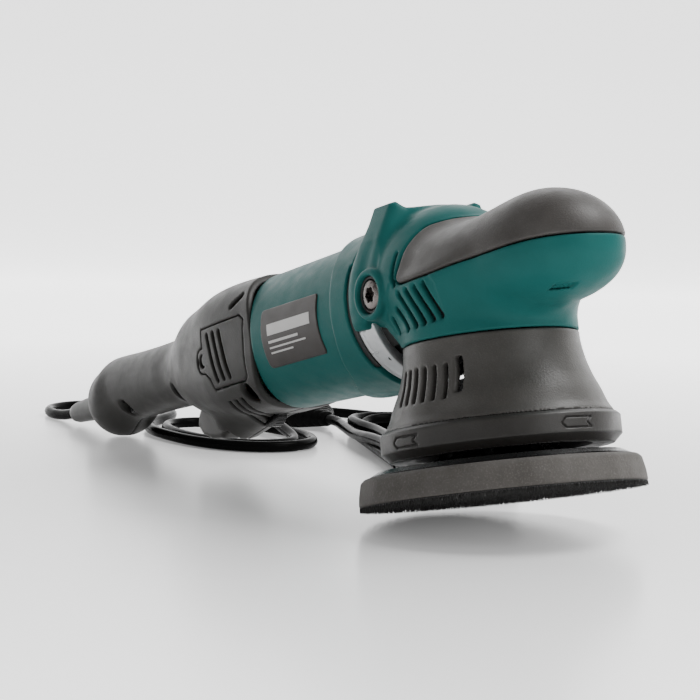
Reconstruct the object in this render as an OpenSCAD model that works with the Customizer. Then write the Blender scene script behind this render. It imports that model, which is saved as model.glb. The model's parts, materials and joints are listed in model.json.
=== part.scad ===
// Electric dual-action orbital polisher and sander: a motor barrel with a rear
// handle, a right-angle gear head, and a backing pad that spins freely on an
// eccentric spindle. Every module is drawn in the tool frame: spindle axis on Z,
// hook face at z = 0, nose towards +X. stance() then lays the whole tool down on
// the pad's rear edge and the tail foot, which is how it rests on a bench.

/* [Pad] */
// Diameter of the hook face of the backing pad
pad_d = 125; // [115:1:130]
// Orbit diameter of the pad, twice the eccentric offset
throw_d = 15; // [8:1:15]
// Direction of the eccentric at rest, degrees from the nose
throw_angle = -48; // [-60:1:-30]
// Thickness of the foam layer
foam_h = 11.7; // [9:0.1:12]
// Thickness of the hook-and-loop layer
hook_h = 2; // [1.5:0.1:2.5]

/* [Motor] */
// Height of the motor axis above the hook face
motor_z = 94; // [93:0.5:95]
// Outside radius of the motor barrel at its front end
barrel_r = 35; // [34.5:0.1:35.5]
// Outside radius of the field core
stator_r = 30.4; // [29.5:0.1:30.5]
// Radius of the rotor core
rotor_r = 18.6; // [17.5:0.1:18.8]

/* [Gear head] */
// Teeth of the bevel pinion
pinion_teeth = 10; // [10:1:10]
// Teeth of the bevel gear
gear_teeth = 40; // [40:1:40]
// Module of the bevel teeth at the outer end
gear_module = 1.25; // [1.2:0.05:1.25]
// Radius of the side-handle bolt thread
handle_bolt_r = 4; // [3:0.5:4]

/* [Skirt] */
// Outside radius of the shroud ring
ring_r = 52.2; // [51.5:0.1:53]
// Radius of the skirt where it meets the head
neck_r = 38.4; // [38:0.1:39]
// Number of cooling slots on each side of the skirt
skirt_slots = 7; // [5:1:7]

/* [Handle] */
// Radius of the rear handle
handle_r = 18; // [17.5:0.1:18.5]
// Radius of the ball-shaped tail
tail_r = 20.5; // [20:0.1:21]
// Angle at which the tool rests, nose up
pitch = 12.9; // [12.8:0.1:13]

/* [Cord] */
// Diameter of the power cord
cord_d = 6; // [5.5:0.1:6]

/* [Hidden] */
$fn = 96;
eps = 0.01;

// pad stack
throw_r = throw_d / 2;
pad_x = throw_r * cos(throw_angle);
pad_y = throw_r * sin(throw_angle);
pad_r = pad_d / 2;
foam_top = hook_h + foam_h;
plate_top = foam_top + 2.8;

// skirt and ring
ring_bottom = 20.3;
ring_top = 33.6;
neck_z = 70;

// gear head
boss_x = -32.2;
boss_z = 95.7;
boss_r = 11.6;
boss_y = 38.4;
head_back = -51.5;
seam_z = 100.5;
bearing_fit = 0.02;

// motor
collar_front = head_back - 0.6;
shaft_r = 5;
brush_x = -175;

// rear housing and handle
tail_x = -354;
tail_z = 89;
cap_x0 = -197;
cap_x1 = -156;
screw_spots = [[-178, 116], [-165, 69.5], [-262, 83], [-327, 82]];
screw_r = 1.6;
trigger_x = -226;
trigger_z = 69;
dial_x = -190;
dial_z = 64;
lock_x = -268;

// stance: the pad's rear edge and the tail foot touch the floor
floor_k = (pad_x - pad_r) * sin(pitch);
rest_front = (pad_x + pad_r) * cos(pitch);
rest_rear = (tail_x - tail_r / cos(pitch)) * cos(pitch) - tail_z * sin(pitch);
rest_mid = (rest_front + rest_rear) / 2;

// bevel teeth: cone angles, cone distance, and how the teeth shrink inwards
gear_cone = atan(gear_teeth / pinion_teeth);
pinion_cone = 90 - gear_cone;
gear_reach = gear_module * gear_teeth / 2 / sin(gear_cone);
tooth_k = 0.71;
tooth_add = 0.9 * gear_module;
tooth_ded = 1.15 * gear_module;
tooth_root_w = 1.62 * gear_module;
tooth_tip_w = 0.62 * gear_module;

// seams and slots
seam_r = 52;
head_slot_l = [20, 20, 20, 20, 13, 7];

// cord: strain relief behind the tail, then the route over the bench, in bench
// coordinates, through a loose double loop into the hank
relief_l = 46;
relief_x0 = tail_x - tail_r + 5;
relief_x1 = relief_x0 - relief_l;
cord_r = cord_d / 2;
cord_start = bench([relief_x1, 0, tail_z]);
cord_route = [cord_start, [-282, 5.5, 4], [-297, 6, 3], [-313, 10, 3], [-326, 19, 3], [-334, 33, 3],
    [-334, 49, 3], [-326, 63, 3], [-311, 73, 3], [-292, 77, 3], [-272, 72, 3], [-255, 59, 3],
    [-240, 43, 3], [-222, 30, 3], [-199, 22, 3], [-174, 19, 3], [-149, 20, 3], [-127, 27, 3],
    [-112, 41, 3], [-109, 60, 3], [-119, 77, 3], [-138, 87, 3], [-162, 91, 3], [-188, 90, 3],
    [-211, 82, 3], [-227, 67, 3], [-226, 49, 3], [-211, 36, 3], [-188, 29, 3], [-162, 27, 3],
    [-138, 31, 3], [-121, 43, 3], [-120, 61, 3], [-134, 75, 3.5], [-158, 82, 6.5], [-184, 87, 9.5],
    [-210, 92, 8], [-235, 98, 4], [-256, 110, 3], [-267, 130, 3], [-264, 151, 3], [-249, 168, 3],
    [-227, 179, 3], [-202, 184, 3], [-177, 184, 3], [-153, 178, 3]];
cord_end_route = [[-161.9, 123.6, 6.2], [-168.5, 125.9, 6.6], [-175, 127.1, 7], [-181, 127.3, 7.2]];

// hank: middle, half length of its straight runs, direction, and outer radius
hank_x = -56;
hank_y = 111;
hank_run = 95;
hank_turn = -23;
hank_r = 27.4;
hank_hole_r = 15;
hank_h = 12.2;
tie_u = 45;

// plug: where the cord enters it
plug_x = -182;
plug_y = 127.3;
plug_z = 7.2;
plug_l = 40;
pin_pitch = 19;
pin_r = 2;

// ---- placing helpers ----

// tool frame to bench frame, as stance() does
function bench(p) = [
    p[0] * cos(pitch) - p[2] * sin(pitch) - rest_mid,
    p[1] - pad_y,
    p[0] * sin(pitch) + p[2] * cos(pitch) - floor_k
];

module stance() {
    translate([-rest_mid, -pad_y, -floor_k])
        rotate([0, -pitch, 0])
            children();
}

// local Z runs along +X of the tool, starting at x
module along_x(x, z = motor_z) {
    translate([x, 0, z])
        rotate([0, 90, 0])
            children();
}

// local Z runs along +Y, starting at y
module along_y(x, y, z) {
    translate([x, y, z])
        rotate([-90, 0, 0])
            children();
}

// solid of revolution on the motor axis; pts are [x, radius]
module turned_x(pts) {
    translate([0, 0, motor_z])
        rotate([0, 90, 0])
            rotate_extrude()
                polygon([for (p = pts) [p[1], p[0]]]);
}

// solid of revolution on the spindle axis; pts are [radius, z]
module turned_z(pts) {
    rotate_extrude()
        polygon(pts);
}

module tube_z(r_out, r_in, z0, z1) {
    translate([0, 0, z0])
        difference() {
            cylinder(r = r_out, h = z1 - z0);
            translate([0, 0, -1])
                cylinder(r = r_in, h = z1 - z0 + 2);
        }
}

module tube_x(r_out, r_in, x0, x1) {
    along_x(x0)
        difference() {
            cylinder(r = r_out, h = x1 - x0);
            translate([0, 0, -1])
                cylinder(r = r_in, h = x1 - x0 + 2);
        }
}

module both_sides() {
    children();
    mirror([0, 1, 0])
        children();
}

module on_pad_axis() {
    translate([pad_x, pad_y, 0])
        children();
}

// round-ended bar between two points in the XZ plane
module pill(a, b, r) {
    l = norm(b - a);
    translate(a)
        rotate([0, 90 - atan2(b[2] - a[2], b[0] - a[0]), 0])
            rotate_extrude()
                polygon(concat([for (i = [0 : 12]) [r * sin(i * 7.5), -r * cos(i * 7.5)]],
                    [for (i = [0 : 12]) [r * cos(i * 7.5), l + r * sin(i * 7.5)]]));
}

// plane-bounded box given by its two corners
module span(a, b) {
    translate(a)
        cube(b - a);
}

// ball bearing drawn as races and a ring of balls, axis Z
module bearing(r_in, r_out, h) {
    race = (r_out - r_in) * 0.3;
    difference() {
        cylinder(r = r_out, h = h);
        translate([0, 0, -1])
            cylinder(r = r_in, h = h + 2);
        for (z = [-eps, h * 0.82])
            translate([0, 0, z])
                difference() {
                    cylinder(r = r_out - race, h = h * 0.18 + eps);
                    translate([0, 0, -1])
                        cylinder(r = r_in + race, h = h + 2);
                }
    }
}

// ---- outlines shared by neighbouring shells ----

// barrel radius, tapering towards the rear
function barrel_at(x) = barrel_r + (x + 86) * 0.016;

// cylinder across the tool whose curved face is a seam line on both flanks
module seam_cut(x, grow = 0) {
    along_y(x - seam_r, -60, motor_z)
        cylinder(r = seam_r + grow, h = 120);
}

// slot with round ends through both flanks, in the XZ plane
module flank_slot(x, z, l, w, lean, y0, y1) {
    translate([x, 0, z])
        rotate([0, lean, 0])
            both_sides() {
                translate([-w / 2, y0, -l / 2 + w / 2])
                    cube([w, y1 - y0, l - w]);
                for (end = [-1, 1])
                    along_y(0, y0, end * (l - w) / 2)
                        cylinder(d = w, h = y1 - y0, $fn = 24);
            }
}

// ---- pad stack ----

module hook_face() {
    color("#191817") stance() on_pad_axis()
        tube_z(pad_r, 9, 0, hook_h);
}

module pad_foam() {
    color("#4a4744") stance() on_pad_axis()
        difference() {
            turned_z([[0, hook_h], [pad_r - 1, hook_h], [pad_r - 0.3, hook_h + 1.2],
                [pad_r - 2, foam_top - 0.8], [pad_r - 2.8, foam_top], [0, foam_top]]);
            translate([0, 0, -1])
                cylinder(r = 14, h = foam_top + 2);
        }
}

module backing_plate() {
    color("#222222") stance() on_pad_axis()
        difference() {
            turned_z([[0, 9.5], [13.8, 9.5], [13.8, foam_top], [56.5, foam_top],
                [56.5, foam_top + 0.9], [53, plate_top], [31, plate_top + 1.2],
                [26, 20.5], [24, 24], [0, 24]]);
            translate([0, 0, 9])
                cylinder(r = 4.2, h = 20);
            for (a = [0 : 45 : 315])
                rotate(a)
                    translate([27, 0, plate_top + 1])
                        cylinder(r = 3.2, h = 8);
        }
}

module pad_bolt() {
    color("#9a9c9e") stance() on_pad_axis()
        difference() {
            union() {
                translate([0, 0, 4])
                    cylinder(r = 7, h = 5.5);
                translate([0, 0, 9])
                    cylinder(r = 3.95, h = 30);
            }
            translate([0, 0, 3])
                cylinder(r = 3.4, h = 4.5, $fn = 6);
        }
}

module pad_spindle() {
    color("#b3b5b7") stance() on_pad_axis()
        difference() {
            union() {
                translate([0, 0, 24])
                    cylinder(r = 12, h = 6.5);
                cylinder_between(8 - bearing_fit, 30, 49.2);
            }
            translate([0, 0, 23])
                cylinder(r = 4, h = 20);
        }
}

module cylinder_between(r, z0, z1) {
    translate([0, 0, z0])
        cylinder(r = r, h = z1 - z0);
}

module pad_bearing() {
    color("#c6c8ca") stance() on_pad_axis()
        for (z = [31, 40.5])
            translate([0, 0, z])
                bearing(8, 16, 9);
}

// ---- orbiting drive ----

module counterweight() {
    color("#7c7f83") stance()
        difference() {
            union() {
                on_pad_axis()
                    cylinder_between(20, 30.5, 52);
                rotate(throw_angle + 180)
                    intersection() {
                        cylinder_between(33.5, 34, 50);
                        translate([0, -34, 30])
                            cube([34, 68, 22]);
                    }
                cylinder_between(13, 50, 56.5);
            }
            on_pad_axis()
                cylinder_between(16, 30, 49.5);
            cylinder_between(7.5, 45, 60);
        }
}

module spindle() {
    color("#b3b5b7") stance() {
        cylinder_between(7.5, 52.2, 63);
        cylinder_between(7.5 - bearing_fit, 63, 76);
        cylinder_between(7, 76, 90);
        cylinder_between(4 - bearing_fit, 90, 110.4);
    }
}

// one straight bevel tooth along the cone element that leans by cone from +Z
// and meets the apex; reach is the cone distance of the outer end
module bevel_tooth(cone, reach) {
    u = [sin(cone), 0, cos(cone)];
    n = [cos(cone), 0, -sin(cone)];
    t = [0, 1, 0];
    base = -tooth_ded - 0.3;
    outer = [
        reach * u + base * n - tooth_root_w / 2 * t,
        reach * u + base * n + tooth_root_w / 2 * t,
        reach * u + tooth_add * n + tooth_tip_w / 2 * t,
        reach * u + tooth_add * n - tooth_tip_w / 2 * t
    ];
    polyhedron(
        points = concat(outer, outer * tooth_k),
        faces = [[0, 1, 2, 3], [7, 6, 5, 4], [4, 5, 1, 0], [5, 6, 2, 1], [6, 7, 3, 2], [7, 4, 0, 3]]
    );
}

// root cone point [radius, distance from apex] at a fraction of the reach
function root_point(cone, reach, k) =
    [k * (reach * sin(cone) - tooth_ded * cos(cone)), k * (reach * cos(cone) + tooth_ded * sin(cone))];

module bevel_gear() {
    color("#8d8f92") stance()
        translate([0, 0, motor_z])
            mirror([0, 0, 1])
                difference() {
                    union() {
                        turned_z([[0, 4.5], [11, 4.5], root_point(gear_cone, gear_reach, tooth_k),
                            root_point(gear_cone, gear_reach, 1), [24, 9.5], [13, 12],
                            [13, 17.5], [0, 17.5]]);
                        for (i = [0 : gear_teeth - 1])
                            rotate((i + 0.5) * 360 / gear_teeth)
                                bevel_tooth(gear_cone, gear_reach);
                    }
                    translate([0, 0, -1])
                        cylinder(r = 7, h = 30);
                }
}

module pinion() {
    color("#8d8f92") stance()
        translate([0, 0, motor_z])
            rotate([0, -90, 0])
                difference() {
                    union() {
                        turned_z([[0, gear_reach * cos(pinion_cone) * tooth_k],
                            root_point(pinion_cone, gear_reach, tooth_k),
                            root_point(pinion_cone, gear_reach, 1), [4.5, 28.5], [4.5, 32.5], [0, 32.5]]);
                        for (i = [0 : pinion_teeth - 1])
                            rotate(i * 360 / pinion_teeth)
                                bevel_tooth(pinion_cone, gear_reach);
                    }
                    cylinder(r = 2.6, h = 40);
                }
}

module upper_bearing() {
    color("#c6c8ca") stance()
        translate([0, 0, 103.5])
            bearing(4, 11, 7);
}

module lower_bearing() {
    color("#c6c8ca") stance()
        translate([0, 0, 64])
            bearing(7.5, 17.5, 11);
}

// ---- gear head ----

module gearcase() {
    color("#b9bbbc") stance()
        difference() {
            union() {
                cylinder_between(31, 62.5, 112);
                turned_x([[-51.5, 0], [-51.5, 36.5], [-44.5, 36.5], [-44.5, 32.5], [-20, 31], [-20, 0]]);
                along_y(boss_x, -33, boss_z)
                    cylinder(r = 10, h = 66);
            }
            // gear chamber, bearing seats and shaft passages
            cylinder_between(27.8, 76, 103);
            cylinder_between(11, 100, 110.6);
            cylinder_between(17.5, 64, 77);
            cylinder_between(12, 60, 65);
            along_x(-42.5)
                cylinder(r = 15, h = 9.5);
            along_x(-36)
                cylinder(r = 9, h = 12);
            along_x(-60)
                cylinder(r = 31.5, h = 14);
            along_x(-47)
                cylinder(r = 13, h = 6);
            for (side = [-1, 1])
                along_y(boss_x, side > 0 ? 17 : -34, boss_z)
                    cylinder(r = handle_bolt_r, h = 17);
            head_screw_places() {
                cylinder(r = 2, h = 20);
                translate([0, 0, 17.5])
                    cylinder(r = 3.45, h = 10);
            }
        }
}

module bearing_plate() {
    color("#a9abac") stance()
        tube_z(30, 11, 58.5, 62.5);
}

module head_screw_places() {
    for (a = [45, 135, 225, 315])
        translate([-62, 33.2 * sin(a), motor_z + 33.2 * cos(a)])
            rotate([0, 90, 0])
                children();
}

module head_screws() {
    color("#5b5d60") stance()
        head_screw_places() {
            cylinder(r = 2, h = 17.6);
            translate([0, 0, 17.5])
                cylinder(r = 3.3, h = 3);
        }
}

// outside of the nose that the palm rests on; grow shrinks it for inner shapes
module nose(grow = 0) {
    hull() {
        translate([61, 0, 102.5])
            sphere(r = 24 + grow, $fn = 40);
        both_sides() {
            translate([49, 15, 101.5])
                sphere(r = 17.5 + grow, $fn = 32);
            translate([0, 14.5, 100.5])
                sphere(r = 23 + grow, $fn = 32);
        }
    }
}

// rounded body of the head between the collar and the nose
module dome(grow = 0) {
    hull() {
        along_x(-50 - grow)
            cylinder(r = 35.5 + grow, h = 4, $fn = 48);
        cylinder_between(neck_r + grow, neck_z - grow, 88, $fn = 48);
        translate([-22, 0, 105])
            sphere(r = 28.5 + grow, $fn = 40);
    }
}

// part of the nose that the rubber covers
module grip_zone(back, low) {
    intersection() {
        span([-30, -60, low], [120, 60, 150]);
        translate([back, 0, low])
            rotate([0, 48, 0])
                translate([0, -60, -120])
                    cube([160, 120, 240]);
    }
}

module yoke() {
    translate([-43, 0, 0])
        rotate([90, 0, 90])
            linear_extrude(height = 23)
                polygon([[-36.5, 86], [-36.5, 108], [-32, 121], [-26.5, 132], [-23.5, 137.5], [-21, 137.8],
                    [-15, 133.6], [0, 134.2], [15, 133.6], [21, 137.8], [23.5, 137.5], [26.5, 132],
                    [32, 121], [36.5, 108], [36.5, 86]]);
    both_sides()
        along_y(boss_x, 20, boss_z)
            cylinder(r = boss_r, h = boss_y - 20);
}

module front_cover() {
    color("#1d625f") stance()
        difference() {
            union() {
                dome();
                yoke();
                difference() {
                    nose();
                    grip_zone(-17, seam_z - 0.3);
                }
                nose(-2.6);
                turned_x([[head_back, 36.7], [head_back, 39.5], [-44, 40], [-40, 36.7]]);
                cylinder_between(neck_r, neck_z, 80);
            }
            // gear head chamber
            cylinder_between(33.5, 60, 114);
            along_x(-60)
                cylinder(r = 36.7, h = 16);
            along_x(-46)
                cylinder(r = 33, h = 40);
            // hollow under the palm
            intersection() {
                nose(-5.4);
                span([20, -60, 60], [120, 60, 140]);
            }
            // pockets for the heads of the flange screws
            head_screw_places()
                translate([0, 0, 17])
                    cylinder(r = 3.7, h = 5);
            // the lower front quarter leaves the cast flange in view
            span([-60, -60, 40], [-38, 60, 77]);
            span([-60, -60, 30], [90, 60, neck_z]);
            // side-handle holes
            both_sides()
                along_y(boss_x, 20, boss_z) {
                    cylinder(r = 10.3, h = 13.5);
                    translate([0, 0, 10])
                        cylinder(r = 8.4, h = 12);
                }
            for (i = [0 : 5])
                flank_slot(12 - i * 6.2, 89 - i * 2.1, head_slot_l[i], 2.5, -40, 28, 44);
        }
}

module grip_overmould() {
    color("#4b4845") stance()
        intersection() {
            difference() {
                nose();
                nose(-2.6);
                dome(0.3);
                span([-60, -60, 60], [-15, 60, 140]);
            }
            grip_zone(-16.6, seam_z);
        }
}

module handle_bolts() {
    color("#6d6a67") stance()
        along_y(boss_x, -38.2, boss_z)
            difference() {
                union() {
                    rotate_extrude()
                        polygon([[0, 0], [3, 0], [5.6, 0.8], [7.2, 2.4], [7.4, 3.2], [0, 3.2]]);
                    cylinder(r = handle_bolt_r, h = 20);
                }
                translate([0, 0, -1])
                    cylinder(r = 2.9, h = 3.6, $fn = 6);
            }
}

module bolt_washers() {
    color("#151515") stance()
        along_y(boss_x, -35, boss_z)
            difference() {
                cylinder(r = 8.3, h = 1.9);
                translate([0, 0, -1])
                    cylinder(r = handle_bolt_r, h = 4);
            }
}

// ---- skirt ----

module skirt() {
    color("#42403d") stance()
        difference() {
            turned_z([[46.2, ring_top], [49.4, ring_top], [49.2, 35.2], [47.2, 38.5], [45.2, 44],
                [42.4, 51.3], [40.3, 59], [39.1, 65], [neck_r - 0.1, neck_z - 0.3],
                [35.6, neck_z - 0.3], [36.2, 65], [37.4, 59], [39.6, 51.3], [42.6, 44], [45, 38.5]]);
            along_x(-70)
                cylinder(r = 37.2, h = 50);
            for (i = [0 : skirt_slots - 1])
                translate([23.1 - i * 5.5, 0, i == 0 ? 53.2 : 50.9])
                    rotate([0, -12, 0])
                        both_sides()
                            translate([i == 0 ? -1.6 : -1.2, 30, -7.6])
                                cube([i == 0 ? 3.2 : 2.4, 22, 15.2]);
        }
}

module shroud_ring() {
    color("#3f3d3b") stance()
        difference() {
            turned_z([[39, 21], [44, ring_bottom], [48.3, ring_bottom], [ring_r, 24], [ring_r, 31.8],
                [ring_r - 1.6, ring_top], [46, ring_top], [46, 26], [39, 26]]);
            for (a = [0 : 45 : 315])
                rotate(a + 12)
                    translate([39.5, 0, 15])
                        cylinder(r = 4, h = 14);
        }
}

// ---- motor ----

module motor_housing() {
    color("#1f6965") stance()
        difference() {
            union() {
                turned_x([[-190, barrel_at(-190)], [-190, 30.9], [-152, 30.9], [-152, stator_r],
                    [-90, stator_r], [-90, 31], [collar_front, 31], [collar_front, barrel_at(-52)]]);
                difference() {
                    turned_x([[-104, 34], [-101, 36.2], [-96, 37.6], [-90, 37.9], [collar_front - 2, 38.9],
                        [collar_front, 38.4], [collar_front, 34]]);
                    seam_cut(-73);
                }
            }
            seam_cut(-149, 0);
            head_screw_places()
                cylinder(r = 2, h = 20);
        }
}

module stator() {
    color("#6e6a66") stance()
        tube_x(stator_r, 19.3, -150, -92);
}

module field_coils() {
    color("#a4572b") stance()
        for (x = [-158, -92])
            difference() {
                tube_x(28.5, 20.5, x, x + 8);
                span([x - 1, -40, motor_z - 9], [x + 9, 40, motor_z + 9]);
            }
}

module armature_shaft() {
    color("#b3b5b7") stance() {
        along_x(-200)
            cylinder(r = 4 - bearing_fit, h = 8);
        along_x(-192)
            cylinder(r = shaft_r - bearing_fit, h = 159);
        along_x(-33)
            cylinder(r = 2.6, h = 17);
    }
}

module rotor_core() {
    color("#5f5d5b") stance()
        difference() {
            tube_x(rotor_r, shaft_r - bearing_fit, -150, -92);
            for (a = [0 : 30 : 330])
                along_x(-151)
                    rotate(a)
                        translate([rotor_r - 3, -0.8, 0])
                            cube([5, 1.6, 60]);
        }
}

module rotor_windings() {
    color("#b4622f") stance()
        for (x = [-158, -92])
            tube_x(16.5, shaft_r - bearing_fit, x, x + 8);
}

module commutator() {
    color("#b87a4a") stance()
        difference() {
            tube_x(12, shaft_r - bearing_fit, -184, -166);
            for (a = [0 : 15 : 345])
                along_x(-185)
                    rotate(a)
                        translate([11.2, -0.3, 0])
                            cube([2, 0.6, 20]);
        }
}

module fan() {
    color("#2b2b2b") stance()
        union() {
            tube_x(30, shaft_r - bearing_fit, -64, -62);
            tube_x(10, shaft_r - bearing_fit, -74, -62);
            for (a = [0 : 30 : 330])
                along_x(-74)
                    rotate(a)
                        translate([14, -0.8, 0])
                            cube([15.5, 1.6, 11]);
        }
}

module front_bearing() {
    color("#c6c8ca") stance()
        along_x(-42)
            bearing(shaft_r, 15, 9);
}

module rear_bearing() {
    color("#c6c8ca") stance()
        along_x(-199.5)
            bearing(4, 11, 7);
}

module brush_holders() {
    color("#b9964a") stance()
        both_sides()
            difference() {
                union() {
                    span([brush_x - 5.5, 13.2, motor_z - 6.5], [brush_x + 5.5, 31.8, motor_z + 6.5]);
                    // bracket that rests on the shell above and below the opening
                    intersection() {
                        span([brush_x - 5.5, 27, 60], [brush_x + 5.5, 28.5, 130]);
                        along_x(brush_x - 10)
                            cylinder(r = 31, h = 20);
                    }
                }
                span([brush_x - 4, 12, motor_z - 5], [brush_x + 4, 33, motor_z + 5]);
            }
}

module carbon_brushes() {
    color("#2a2a2c") stance()
        both_sides()
            span([brush_x - 4, 12.1, motor_z - 5], [brush_x + 4, 26, motor_z + 5]);
}

// ---- rear housing ----

// outside of the two clamshell halves together
module rear_body() {
    intersection() {
        turned_x([[-146, 0], [-146, 36.6], [-205, 36.2], [-222, 33], [-238, 29], [-249, 25], [-256, 21.5],
            [-259, 19.4], [-268, handle_r + 0.6], [-335, handle_r], [-344, handle_r + 0.6], [-352, 0]]);
        span([-360, -34.2, 40], [-140, 34.2, motor_z + 32.8]);
    }
    pill([tail_x, 0, tail_z], [tail_x + 4, 0, tail_z + 0.3], tail_r);
    lobe(0);
}

// rounded belly in front of the trigger
module lobe(grow) {
    pill([-222, 0, 66.5], [-199, 0, 71], 15.5 + grow);
}

module cover_outline(grow = 0) {
    rotate([90, 0, 0])
        linear_extrude(height = 12, center = true)
            polygon([[cap_x0 - grow, 90], [cap_x0 - grow, 105 + grow], [cap_x1 + grow, 106.5 + grow],
                [cap_x1 + grow, 75 - grow], [-188 - grow, 73.5 - grow]]);
    along_y(cap_x0 + 1, -6, 90)
        cylinder(r = 6 + grow, h = 12);
}

module rear_shell() {
    difference() {
        rear_body();
        // inside
        turned_x([[-140, 0], [-140, 31], [-205, 31], [-222, 29], [-238, 25.5], [-249, 21.5], [-256, 17.5],
            [-268, handle_r - 2.8], [-350, handle_r - 2.8], [-350, 0]]);
        lobe(-2.6);
        difference() {
            span([-170, -60, 20], [-130, 60, 160]);
            seam_cut(-149, -0.4);
        }
        // brush cover pockets, and the openings behind them
        both_sides() {
            translate([0, 38, 0])
                cover_outline(0.5);
            span([-188, 25, 84], [-162, 40, 102]);
        }
        // trigger opening
        span([-257, -10.5, 40], [-221, 10.5, 78]);
        // dial opening
        along_y(dial_x, -3, dial_z)
            cylinder(r = 10.5, h = 6);
        // lock button hole
        along_y(lock_x, 0, 98)
            cylinder(r = 4.8, h = 30);
        // cable hole
        translate([tail_x, 0, tail_z])
            rotate([0, -90, 0])
                cylinder(r = 6.5, h = 40);
        // counterbores of the clamshell screws
        for (p = screw_spots) {
            along_y(p[0], -40, p[1])
                cylinder(r = 4, h = 26);
            along_y(p[0], -20, p[1])
                cylinder(r = screw_r, h = 30);
        }
        // seats of the dial's stub axles
        along_y(dial_x, -8, dial_z)
            cylinder(r = 1.65, h = 16);
        // slanted cooling slots under each flank
        for (side = [-1, 1], i = [0 : 2])
            translate([-163 - i * 2, 0, motor_z])
                rotate([side * (34 - i * 6), 0, side * 24])
                    translate([-11, -1.1, -40])
                        cube([22, 2.2, 14]);
        // foot ground flat where it meets the bench
        rotate([0, pitch, 0])
            translate([-450, -60, floor_k - 30])
                cube([300, 120, 30]);
    }
    // posts that the clamshell screws pull together
    for (p = screw_spots)
        difference() {
            intersection() {
                rear_body();
                along_y(p[0], -40, p[1])
                    cylinder(r = 5.4, h = 80);
            }
            along_y(p[0], -40, p[1])
                cylinder(r = 4, h = 26);
            along_y(p[0], -20, p[1])
                cylinder(r = screw_r, h = 30);
        }
    // bosses of the trigger pin and of the dial's stub axles
    both_sides() {
        difference() {
            span([trigger_x - 4, 10.6, trigger_z - 4], [trigger_x + 4, 14.5, trigger_z + 4]);
            along_y(trigger_x, 5, trigger_z)
                cylinder(r = 1.6, h = 20);
        }
        difference() {
            span([dial_x - 3, 3.4, dial_z - 3], [dial_x + 3, 12.5, dial_z + 3]);
            along_y(dial_x, 0, dial_z)
                cylinder(r = 1.65, h = 8);
        }
    }
    // seat of the rear motor bearing
    tube_x(15, 11, -200.5, -191);
    for (a = [45, 135, 225, 315])
        translate([-200.5, 0, motor_z])
            rotate([a, 0, 0])
                translate([0, -1.5, 14])
                    cube([8, 3, 17.5]);
}

module rear_housing_right() {
    color("#45433f") stance()
        intersection() {
            rear_shell();
            span([-500, -80, 0], [0, 0, 200]);
        }
}

module rear_housing_left() {
    color("#45433f") stance()
        intersection() {
            rear_shell();
            span([-500, 0, 0], [0, 80, 200]);
        }
}

// vented cover over the carbon brush on the right-hand flank
module side_cover() {
    intersection() {
        difference() {
            translate([0, -38, 0])
                cover_outline();
            for (i = [0 : 2])
                translate([-186 + i * 5.4, -40, 89.5])
                    rotate([0, -22, 0])
                        translate([-1.2, 0, -13])
                            cube([2.4, 12, 26]);
            along_y(cap_x0 + 1, -40, 90)
                cylinder(r = 3.2, h = 10);
        }
        span([-210, -34.4, 60], [-140, -32.05, 120]);
    }
}

module brush_cover_right() {
    color("#3f3d3a") stance()
        side_cover();
}

module brush_cover_left() {
    color("#3f3d3a") stance()
        mirror([0, 1, 0])
            side_cover();
}

module cover_screws() {
    color("#2c2c2c") stance()
        both_sides()
            along_y(cap_x0 + 1, 32, 90)
                cylinder(r = 3.1, h = 1.8);
}

module housing_screws() {
    color("#2c2c2c") stance()
        for (p = screw_spots) {
            along_y(p[0], -16.4, p[1])
                cylinder(r = 3.6, h = 2.4);
            along_y(p[0], -14.2, p[1])
                cylinder(r = screw_r, h = 24);
        }
}

module label_plate() {
    intersection() {
        turned_x([[-137, barrel_at(-137) + 0.02], [-137, barrel_at(-137) + 0.6], [-85, barrel_at(-85) + 0.6],
            [-85, barrel_at(-85) + 0.02]]);
        span([-140, -60, 77.5], [-80, 0, 106]);
    }
}

module label_right() {
    color("#4c4845") stance()
        label_plate();
}

module label_left() {
    color("#4c4845") stance()
        mirror([0, 1, 0])
            label_plate();
}

// ---- switch gear ----

module switch_body() {
    color("#202020") stance()
        span([-254, -8, 79], [-228, 8, 98]);
}

module speed_module() {
    color("#2f5a3a") stance()
        span([-222, -10, 78], [-204, 10, 81]);
}

module speed_dial() {
    color("#2a2a2a") stance()
        difference() {
            union() {
                along_y(dial_x, -2.5, dial_z)
                    cylinder(r = 9.8, h = 5);
                along_y(dial_x, -7.5, dial_z)
                    cylinder(r = 1.6, h = 15);
            }
            for (a = [0 : 15 : 345])
                translate([dial_x, 0, dial_z])
                    rotate([0, a, 0])
                        along_y(10.2, -3, 0)
                            cylinder(r = 0.8, h = 6, $fn = 16);
        }
}

module trigger() {
    color("#37352f") stance()
        difference() {
            translate([0, 10, 0])
                rotate([90, 0, 0])
                    linear_extrude(height = 20)
                        polygon([[-252, 68.5], [-254.5, 63], [-250, 57], [-240, 53.2], [-228, 52.6],
                            [-222.5, 55], [-222, 72], [-226, 74], [-246, 75]]);
            along_y(trigger_x, -12, trigger_z)
                cylinder(r = 1.65, h = 24);
        }
}

module trigger_pin() {
    color("#b3b5b7") stance()
        along_y(trigger_x, -11.5, trigger_z)
            cylinder(r = 1.6, h = 23);
}

module lock_button() {
    color("#202020") stance()
        along_y(lock_x, 10, 98) {
            cylinder(r = 4.5, h = 11);
            cylinder(r = 5.4, h = 1.4);
        }
}

// ---- cord ----

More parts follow.
